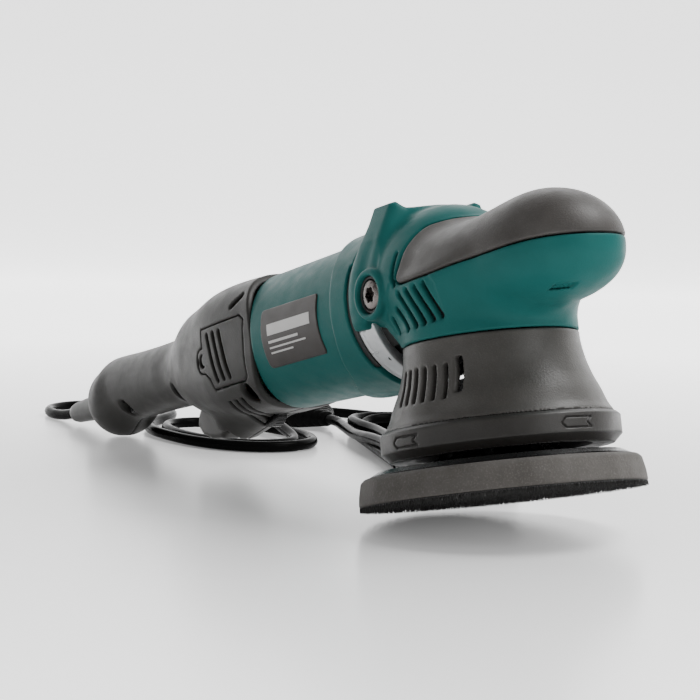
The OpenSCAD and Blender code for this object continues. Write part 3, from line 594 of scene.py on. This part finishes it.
HEAD_VENTS = [((-20.9, 83), (-19.8, 77)), ((-14.5, 86.3), (-7.2, 76.4)), ((-10, 92.4), (0, 76.9)),
              ((-3.1, 92.9), (5.6, 77.3)), ((3, 93.4), (10.6, 78.1)), ((8.8, 94), (14.9, 78.9))]
CURVED_SLOT = [(-14.3, 110.5), (-14.3, 104.6), (-13.9, 100.5), (-12.5, 96.6)]
VENT_PANEL = [(-25.7, 83.2), (-16, 97.5), (12.6, 96.7), (15.9, 93), (16.6, 78.9), (15.8, 77), (-22.8, 75.8)]
COVER_NOTCH = [(-70, 81.9), (-45.3, 81.8), (-33, 81.2), (-30.6, 77), (-28.6, 73.2), (-25.5, 70.6),
               (-17, 69.4), (-17, 30), (-70, 30)]


def cover_field(x, y, z):
    form = head_form(x, y, z)
    flank = 24 - np.abs(y)
    panel = np.maximum(polygon2(x, z, VENT_PANEL), flank)
    form = carve(form, np.maximum(panel, -(form + 0.4)), 0.5)
    wall = smax(form, -(form + WALL), 0.6)
    for a, b in HEAD_VENTS:
        wall = carve(wall, np.maximum(stroke(x, z, a, b, 1.2), flank), 0.7)
    for a, b in zip(CURVED_SLOT, CURVED_SLOT[1:]):
        wall = carve(wall, np.maximum(stroke(x, z, a, b, 0.95), flank), 0.4)
    away = np.hypot(x - BOSS_X, z - BOSS_Z)
    bosses = smax(away - 11.4, np.maximum(np.abs(y) - 40.8, 30 - np.abs(y)), 2.4)
    wall = smin(wall, bosses, 0.6)
    wall = carve(wall, np.maximum(away - 8.6, 20 - np.abs(y)), 1.2)
    wall = carve(wall, np.maximum(box2(x, z, -60, -50.4, 70, 112.5, 0.6), flank), 0.6)
    slit = np.maximum(box2(y, z, -13, -4.5, 82.1, 83.7, 0.6), np.maximum(50 - x, -(form + 1.5)))
    wall = carve(wall, slit, 0.3)
    wall = smax(wall, 0.32 - grip_zone(x, y, z), 0.7)
    wall = smax(wall, np.maximum(NECK_Z + 0.25 - z, -51.4 - x), 0.6)
    return carve(wall, polygon2(x, z, COVER_NOTCH), 1.0)


def grip_field(x, y, z):
    form = head_form(x, y, z) - 0.15
    wall = smax(form, -(form + 3.0), 0.6)
    return smax(wall, grip_zone(x, y, z) + 0.32, 1.1)


moulded("head_cover", cover_field, (-53, -42, 67), (90, 42, 141), 0.8, TEAL, "housing",
        ["front_cover"])
moulded("palm_grip", grip_field, (-20, -40, 92), (90, 40, 132), 0.8, GRIP, "housing",
        ["grip_overmould"])

# ---------------------------------------------------------------- motor housing

COLLAR_EDGE = [(56, -95), (64, -82), (70, -78.6), (81, -74), (95, -72.6), (109, -74), (120, -78), (126, -81),
               (130, -83), (135, -84)]
SEAM_X, SEAM_R = -201.0, 52.0


def rear_seam(x, z):
    """Curved joint between the motor housing and the rear housing, negative behind it."""
    return np.hypot(np.maximum(x - SEAM_X, 0), z - MOTOR_Z) - SEAM_R


def barrel_radius(x):
    """Outside of the barrel behind its collar."""
    return 35 + (x + 86) * 0.016


def motor_field(x, y, z):
    around = np.hypot(y, z - MOTOR_Z)
    step = np.clip((x - spline(z, COLLAR_EDGE)) / 5.5, 0, 1)
    radius = barrel_radius(x) + 3.1 * step * step * (3 - 2 * step)
    wall = smax(around - radius, 31.2 - around, 0.6)
    wall = smax(wall, x + 52.3, 1.0)
    wall = smax(wall, 0.3 - rear_seam(x, z), 0.8)
    flank = 24 - np.abs(y)
    return carve(wall, np.maximum(box2(x, z, -54.4, -40, 66, 112.5, 0.8), flank), 0.6)


moulded("motor_shell", motor_field, (-166, -41, 53), (-50, 41, 135), 0.85, TEAL, "housing",
        ["motor_housing"])

# ---------------------------------------------------------------- rear housing

BODY_R = [(-345, 18.6), (-320, 18), (-285, 18.1), (-268, 18.8), (-257, 21.6), (-246, 25.6), (-238, 28),
          (-222, 30.4), (-207, 32.6), (-200, 33.4), (-150, 33.6)]
COVER_PLATE = [(-198.9, 105.4), (-159.8, 106.8), (-155.4, 104), (-156.4, 99.5), (-157.7, 83.8), (-158.7, 77),
               (-161.6, 74.9), (-192, 74.3), (-193.6, 80), (-198, 83.2)]
COVER_SCREW = (-199.6, 89.6)
PLATE_SLOTS = [((-192.1, 101.8), (-186.2, 78.4)), ((-185.8, 101.9), (-179.9, 78.6)),
               ((-179.6, 102), (-173.9, 78.8))]
TRIGGER_EDGE = [(-252, 68.5), (-254, 63), (-249.6, 57.4), (-240, 54), (-229, 53.2), (-223.4, 55.4),
                (-222.2, 60), (-222.2, 72), (-226, 74), (-246, 75)]
SCREW_WELLS = [(-261.5, 82, 4.6), (-327, 81.6, 4.4), (-164.8, 69.4, 4.6)]


def plate_outline(x, z):
    return smin(polygon2(x, z, COVER_PLATE), np.hypot(x - COVER_SCREW[0], z - COVER_SCREW[1]) - 6.4, 1.0)


def rear_form(x, y, z):
    u, v = np.abs(y), np.abs(z - MOTOR_Z)
    radius = spline(x, BODY_R)
    power = 2 + 0.9 * np.clip((x + 262) / 60, 0, 1)
    body = (np.maximum(u ** power + v ** power, 1e-9) ** (1 / power) - radius) * 0.95
    body = smax(body, -352 - x, 6)
    tail = np.sqrt((x - TAIL_X) ** 2 + y * y + (z - TAIL_Z) ** 2) - TAIL_R
    form = smin(body, tail, 5)
    lobe = np.hypot(stroke(x, z, (-222, 66.5), (-199, 71), 0), y) - 15.4
    form = smin(form, lobe, 4)
    floor = FLOOR_Z - (x * X_AXIS[2] + z * Z_AXIS[2])
    return smax(form, floor + 0.1, 1.0)


def rear_field(x, y, z):
    form = rear_form(x, y, z)
    beside = np.abs(y)
    wall = smax(form, -(form + 2.8), 0.6)
    wall = smax(wall, rear_seam(x, z) + 0.3, 0.8)
    wall = carve(wall, np.maximum(plate_outline(x, z) - 0.35, 20 - beside), 0.5)
    for u, w, r in SCREW_WELLS:
        posts = smax(np.hypot(x - u, z - w) - r - 1.6, np.maximum(beside - 12, form + 1), 0.5)
        wall = carve(smin(wall, posts, 0.5), np.maximum(np.hypot(x - u, z - w) - r, 7 - beside), 0.8)
    for i in range(3):
        lean = x + 174 + 6 * i + 0.42 * (27 - beside)
        vent = np.maximum(np.abs(lean) * 0.92 - 1.0, np.maximum(np.abs(beside - 15) - 12, z - 72))
        wall = carve(wall, vent, 0.5)
    wall = carve(wall, np.maximum(stroke(x, z, (-168.6, 112.4), (-160.4, 116.6), 1.3), 8 - beside), 0.8)
    wall = carve(wall, np.maximum(box2(x, z, -256.5, -220, 30, 76, 1.5), beside - 10.7), 1)
    wall = carve(wall, np.maximum(np.hypot(x + 190, z - 64) - 10.5, beside - 3), 0.6)
    wall = carve(wall, np.maximum(np.hypot(x + 268, z - 98) - 4.9, -y), 0.6)
    return carve(wall, np.maximum(np.hypot(y, z - TAIL_Z) - 6.8, x + 360), 0.8)


def plate_field(x, y, z):
    form = rear_form(x, y, z)
    wall = smax(form, -(form + 2.2), 0.6)
    wall = smax(wall, plate_outline(x, z) + 0.2, 0.8)
    for a, b in PLATE_SLOTS:
        wall = carve(wall, stroke(x, z, a, b, 1.25), 0.6)
    return carve(wall, np.hypot(x - COVER_SCREW[0], z - COVER_SCREW[1]) - 3.5, 0.6)


def screws_field(x, y, z):
    form = 9.0
    for u, w, _ in SCREW_WELLS:
        away = np.hypot(x - u, z - w)
        head = smax(away - 3.3, np.abs(y + 7.9) - 1.3, 0.5)
        cross = np.minimum(box2(x - u, z - w, -2, 2, -0.45, 0.45), box2(x - u, z - w, -0.45, 0.45, -2, 2))
        form = np.minimum(form, carve(head, np.maximum(cross, y + 8.3), 0.2))
    return form


moulded("shell_screws", screws_field, (-332, -10, 65), (-160, -6, 87), 0.45, SCREW, "housing",
        ["housing_screws"])


def trigger_field(x, y, z):
    return smax(polygon2(x, z, TRIGGER_EDGE), np.abs(y) - 9.9, 3)


moulded("trigger_lever", trigger_field, (-257, -12, 50), (-219, 12, 77), 0.6, TRIGGER, "trigger",
        ["trigger"])

for side, sign in (("right", -1), ("left", 1)):
    def half(x, y, z, sign=sign):
        return smax(rear_field(x, y, z), 0.07 - sign * y, 0.5)

    def plate(x, y, z, sign=sign):
        return np.maximum(plate_field(x, y, z), 20 - sign * y)

    low_y, high_y = (-38, 1) if sign < 0 else (-1, 38)
    moulded(f"rear_shell_{side}", half, (-378, low_y, 47), (-146, high_y, 130), 0.85, HOUSING, "housing",
            [f"rear_housing_{side}"])
    low_y, high_y = sorted((sign * 20, sign * 38))
    moulded(f"brush_door_{side}", plate, (-204, low_y, 71), (-153, high_y, 109), 0.55, HOUSING, "housing",
            [f"brush_cover_{side}"])

# ---------------------------------------------------------------- skirt, ring and flange

SKIRT_R = [(33, 50), (37.4, 47.8), (43.7, 45.4), (51.3, 42.1), (60, 39.6), (70, 38.5)]
RING_EDGE = [(39, 21), (44, 20.3), (48.6, 20.3), (52.3, 23.9), (52.3, 31.9), (50.8, 33.3), (46, 33.3),
             (46, 26), (39, 26)]
ARROW = [(0, 0), (2.5, 2.2), (16.5, 2.2), (13.6, 0), (16.5, -2.2), (2.5, -2.2)]
ARROW_AT = [(-7.1, 27.9), (-96, 27.3), (83, 27.9), (172, 27.9)]


def skirt_field(x, y, z):
    r = np.hypot(x, y)
    outer = spline(z, SKIRT_R)
    wall = smax((r - outer) * 0.93, outer - 3 - r, 0.6)
    wall = smax(wall, np.maximum(z - 69.6, 33.5 - z), 0.6)
    wall = carve(wall, np.maximum(np.hypot(y, z - MOTOR_Z) - 37.4, x + 20), 0.6)
    for i in range(7):
        half, middle = (1.6, 53) if i == 0 else (1.15, 50.8)
        across = np.abs(x - 23.1 + 5.5 * i + 0.21 * (z - 50)) - half
        slot = smax(across, np.abs(z - middle) - 7.8, 1.2)
        wall = carve(wall, np.maximum(slot, 28 - np.abs(y)), 0.5)
    return wall


def ring_field(x, y, z):
    r = np.hypot(x, y)
    ring = polygon2(r, z, RING_EDGE) - 0.1
    angle = np.degrees(np.arctan2(y, x))
    for tip, height in ARROW_AT:
        along = np.radians((angle - tip + 180) % 360 - 180) * 52.3
        line = np.abs(polygon2(along, z - height, ARROW)) - 0.38
        ring = carve(ring, np.maximum(line, 51.5 - r), 0.2)
    return ring


def flange_field(x, y, z):
    around = np.hypot(y, z - MOTOR_Z)
    ring = smax(around - 37 + 0.2 * np.maximum(x + 45, 0), np.abs(x + 44.6) - 7.0, 1.4)
    ring = carve(ring, np.hypot(around - 37, x + 48.6) - 0.5, 0.3)
    return smax(ring, np.maximum(31.4 - around, z - 90), 0.4)


# Painted shade: a black strip set in the slot between the cover and the motor shell, standing in for the
# shadow inside the slot.
def shade_strip_field(x, y, z):
    around = np.hypot(y, z - MOTOR_Z)
    band = smax(np.abs(around - 34.4) - 3.2, np.abs(x + 52.4) - 1.9, 0.3)
    return smax(band, np.maximum(24.5 - np.abs(y), np.abs(z - 89.2) - 23), 0.3)


# The black strip of painted shade in the collar slot.
moulded("collar_shade_strip", shade_strip_field, (-56, -39, 65), (-49, 39, 114), 0.6, WASHER_AND_SHADE, "housing")
moulded("pad_skirt", skirt_field, (-52, -52, 32), (52, 52, 71), 0.75, SKIRT, "housing",
        ["skirt"])
moulded("pad_ring", ring_field, (-54, -54, 18), (54, 54, 35), 0.55, RING, "housing",
        ["shroud_ring"])
moulded("cast_flange", flange_field, (-53, -38, 55), (-40, 38, 92), 0.6, CAST, "housing")

# ---------------------------------------------------------------- pad


PAD_AT = (PAD_AXIS[0], PAD_AXIS[1], 0)
FOAM_EDGE = [(20, 2.1), (61.9, 2.1), (62.2, 2.9), (61.8, 7), (60.6, 12.4), (59, 13.9), (20, 13.9)]
HOOK_EDGE = [(1, 1.7), (61.7, 1.7), (62.1, 2.05), (1, 2.05)]
lathe("foam_disc", FOAM_EDGE, PAD_AT, (0, 0, 1), FOAM, "pad", ["pad_foam"])
lathe("hook_disc", HOOK_EDGE, PAD_AT, (0, 0, 1), HOOKS, "pad", ["hook_face"])


def bristles():
    """Short bent hooks in rings under the hook disc."""
    points, quads = [], []
    rng = random.Random(5)
    ring = 61.9
    while ring > 3:
        count = int(2 * math.pi * ring / 1.5)
        for i in range(count):
            a = (i + rng.uniform(-0.3, 0.3)) * 2 * math.pi / count
            foot = np.array([ring * math.cos(a), ring * math.sin(a), 1.8])
            lean = rng.uniform(0, 2 * math.pi)
            tip = foot + [0.35 * math.cos(lean), 0.35 * math.sin(lean), 0]
            tip[2] = rng.uniform(0.06, 0.3)
            first = len(points)
            for spot, r in ((foot, 0.26), (tip, 0.16)):
                points += [spot + [r * math.cos(k * math.pi / 2), r * math.sin(k * math.pi / 2), 0]
                           for k in range(4)]
            quads += [(first, first + 1, first + 2, first + 3), (first + 7, first + 6, first + 5, first + 4)]
            quads += [(first + k, first + k + 4, first + (k + 1) % 4 + 4, first + (k + 1) % 4)
                      for k in range(4)]
        ring -= 1.5
    piece("hook_bristles", to_row(np.array(points) + PAD_AT), quads, HOOKS, "pad", smooth=False)


bristles()

# ---------------------------------------------------------------- bolt in the right-hand boss


def bolt_field(x, y, z):
    away = np.hypot(x - BOSS_X, z - BOSS_Z)
    beside = -y
    head = smax(away - 6.8, np.maximum(beside - 39.6 + 0.012 * away ** 2, 35 - beside), 1.0)
    angle = np.arctan2(z - BOSS_Z, x - BOSS_X)
    socket = away - 3.2 - 0.4 * np.cos(6 * angle)
    shank = smax(away - 3.9, np.maximum(18.5 - beside, beside - 36), 0.3)
    return smin(carve(head, np.maximum(socket, 36.8 - beside), 0.3), shank, 0.1)


moulded("boss_bolt", bolt_field, (-41, -41, 87), (-23, -16, 105), 0.42, BOLT, "housing",
        ["handle_bolts"])
lathe("bolt_ring", [(7, 35.4), (8.4, 35.4), (8.4, 39), (7, 39)], (BOSS_X, 0, BOSS_Z), (0, -1, 0), WASHER_AND_SHADE,
      "housing", ["bolt_washers"], sides=64)

# ---------------------------------------------------------------- labels

LABEL_X0, LABEL_X1, LABEL_Z0, LABEL_Z1 = -137.2, -84.4, 77.2, 105.2
PRINT_BARS = [(-131, -91, 92.2, 97.6), (-131, -103, 88.4, 89.6), (-131, -97, 85.8, 86.6),
              (-131, -110, 83.4, 84.2)]


def label_field(x, y, z):
    around = np.hypot(y, z - MOTOR_Z) - barrel_radius(x)
    skin = smax(around - 0.6, -1.6 - around, 0.2)
    return smax(skin, box2(x, z, LABEL_X0, LABEL_X1, LABEL_Z0, LABEL_Z1, 2.2), 0.3)


def print_bars(name, sign):
    """Thin printed bars that stand in for the wording of the label."""
    points, quads = [], []
    for x0, x1, z0, z1 in PRINT_BARS:
        steps = 12
        first = len(points)
        for lift in (0.58, 0.68):
            for i in range(steps + 1):
                z = z0 + (z1 - z0) * i / steps
                for x in (x0, x1):
                    r = barrel_radius(x) + lift
                    points.append((x, sign * math.sqrt(r * r - (z - MOTOR_Z) ** 2), z))
        top = first + 2 * (steps + 1)
        for i in range(steps):
            a = first + 2 * i
            b = top + 2 * i
            quads += [(a, a + 1, a + 3, a + 2), (b, b + 2, b + 3, b + 1), (a, a + 2, b + 2, b),
                      (a + 1, b + 1, b + 3, a + 3)]
        quads += [(first, top, top + 1, first + 1), (top - 2, top - 1, top + 2 * steps + 1, top + 2 * steps)]
    quads = [q if sign < 0 else q[::-1] for q in quads]
    piece(name, to_row(points), quads, PRINT, "housing", smooth=False)


for side, sign in (("right", -1), ("left", 1)):
    def film(x, y, z, sign=sign):
        return np.maximum(label_field(x, y, z), 20 - sign * y)

    low_y, high_y = sorted((sign * 24, sign * 37))
    moulded(f"label_film_{side}", film, (-139, low_y, 75), (-82, high_y, 107), 0.5, LABEL, "housing",
            [f"label_{side}"])
    print_bars(f"label_print_{side}", sign)

# ---------------------------------------------------------------- floor and light


def stage():
    back, rise, radius, half = -3.0, 3.5, 1.2, 6.0
    arc = [(back + radius - radius * math.sin(a), radius - radius * math.cos(a))
           for a in np.linspace(0, math.pi / 2, 24)]
    profile = [(4.0, 0.0), (back + radius + 0.01, 0.0), *arc, (back, rise)]
    turn = math.atan2(CAMERA_AIM.y - CAMERA_AT.y, CAMERA_AIM.x - CAMERA_AT.x) + math.pi
    points = [(u * math.cos(turn) - w * math.sin(turn), u * math.sin(turn) + w * math.cos(turn), h - 0.0002)
              for u, h in profile for w in (-half, half)]
    quads = [(2 * i, 2 * i + 1, 2 * i + 3, 2 * i + 2) for i in range(len(profile) - 1)]
    mesh = bpy.data.meshes.new("floor")
    mesh.from_pydata(points, [], quads)
    mesh.polygons.foreach_set("use_smooth", [True] * len(quads))
    g = Graph("floor")
    # Painted light and shade: the floor and backdrop glow, faintly near the tool as painted shade round it
    # and brightly further off as painted light.
    away = g.add("ShaderNodeVectorMath", {0: g.place}, operation="LENGTH").outputs["Value"]
    g.set(Base_Color=(0.8, 0.8, 0.8), Roughness=0.24, Specular_IOR_Level=0.5, Emission_Color=(1.0, 1.0, 1.0),
          Emission_Strength=g.between(away, 0.12, 0.9, 0.12, 1.8))
    mesh.materials.append(g.material)
    floor = bpy.data.objects.new("floor", mesh)
    bpy.context.scene.collection.objects.link(floor)


def area_light(name, at, aim, size, power):
    light = bpy.data.lights.new(name, "AREA")
    light.shape = "RECTANGLE"
    light.size, light.size_y = size
    light.energy = power
    holder = bpy.data.objects.new(name, light)
    holder.location = at
    holder.rotation_euler = (Vector(aim) - Vector(at)).to_track_quat("-Z", "Y").to_euler()
    bpy.context.scene.collection.objects.link(holder)


stage()
area_light("key", (0.45, 0.75, 1.35), (0, 0, 0.08), (0.9, 0.7), 26)
area_light("side", (1.5, 0.6, 0.85), (0.1, 0, 0.08), (0.7, 0.9), 9)
area_light("near", (0.1, -1.6, 1.1), (0, 0, 0.08), (1.0, 0.6), 3.5)
world = bpy.data.worlds.new("studio")
world.use_nodes = True
world.node_tree.nodes["Background"].inputs["Color"].default_value = (1, 1, 1, 1)
world.node_tree.nodes["Background"].inputs["Strength"].default_value = 0.2
bpy.context.scene.world = world
